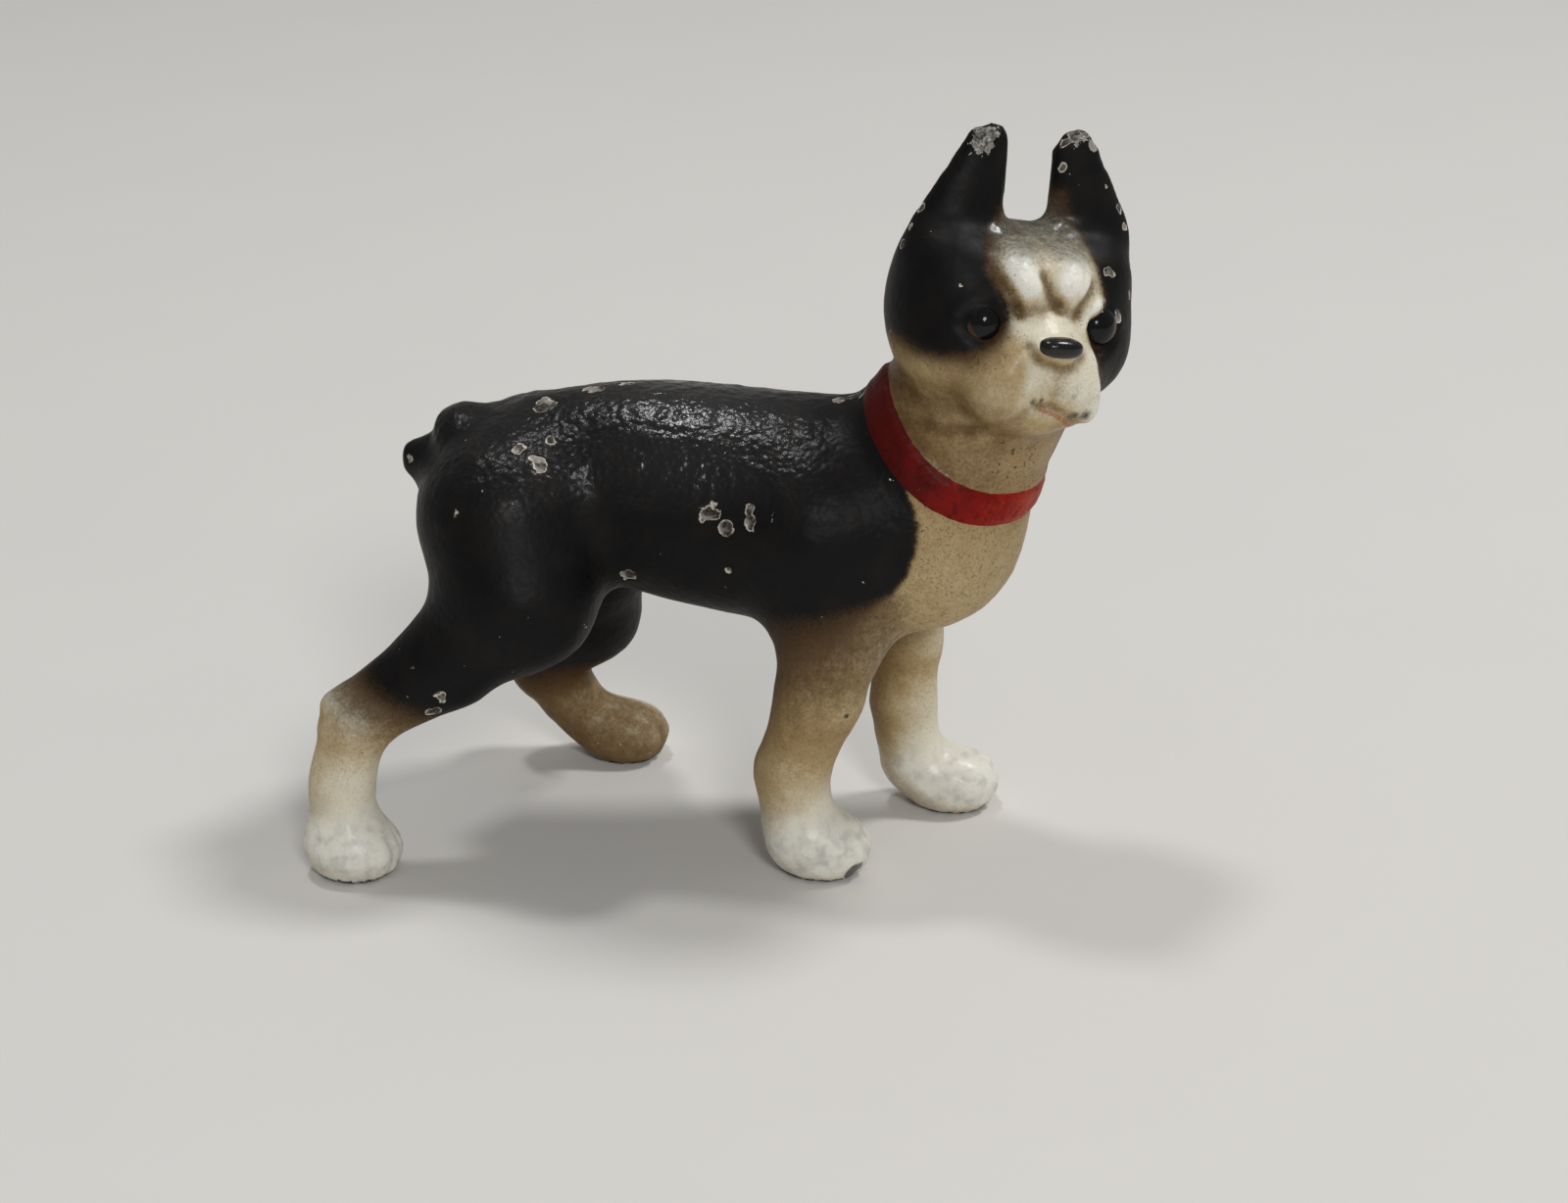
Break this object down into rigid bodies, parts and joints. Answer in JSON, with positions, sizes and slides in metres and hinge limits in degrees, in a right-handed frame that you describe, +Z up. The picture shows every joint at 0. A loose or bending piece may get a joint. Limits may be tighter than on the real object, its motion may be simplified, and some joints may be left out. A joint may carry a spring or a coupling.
{
  "type": "dog paperweight",
  "caption": "Heavy cast iron paperweight in the form of a standing terrier, painted black and cream with a red collar, its head turned to its right; it rests on papers on four paws.",
  "frame": {"origin": "on the table, under the middle of the whole dog's bounding box", "axes": "+X the way the dog's body faces, from tail to chest, +Y to the dog's left, +Z up"},
  "size_m": [0.0816, 0.0406, 0.0767],
  "materials": {
    "right_casting": "glossy enamel, black over cream, chipped",
    "left_casting": "glossy enamel, black over cream, chipped",
    "screw_steel": "painted over, worn",
    "dowel_steel": "bare"
  },
  "bodies": {
    "root": {"right_half": "right_casting", "left_half": "left_casting", "clamp_screw": "screw_steel", "front_dowel": "dowel_steel", "rear_dowel": "dowel_steel"}
  },
  "joints": []
}
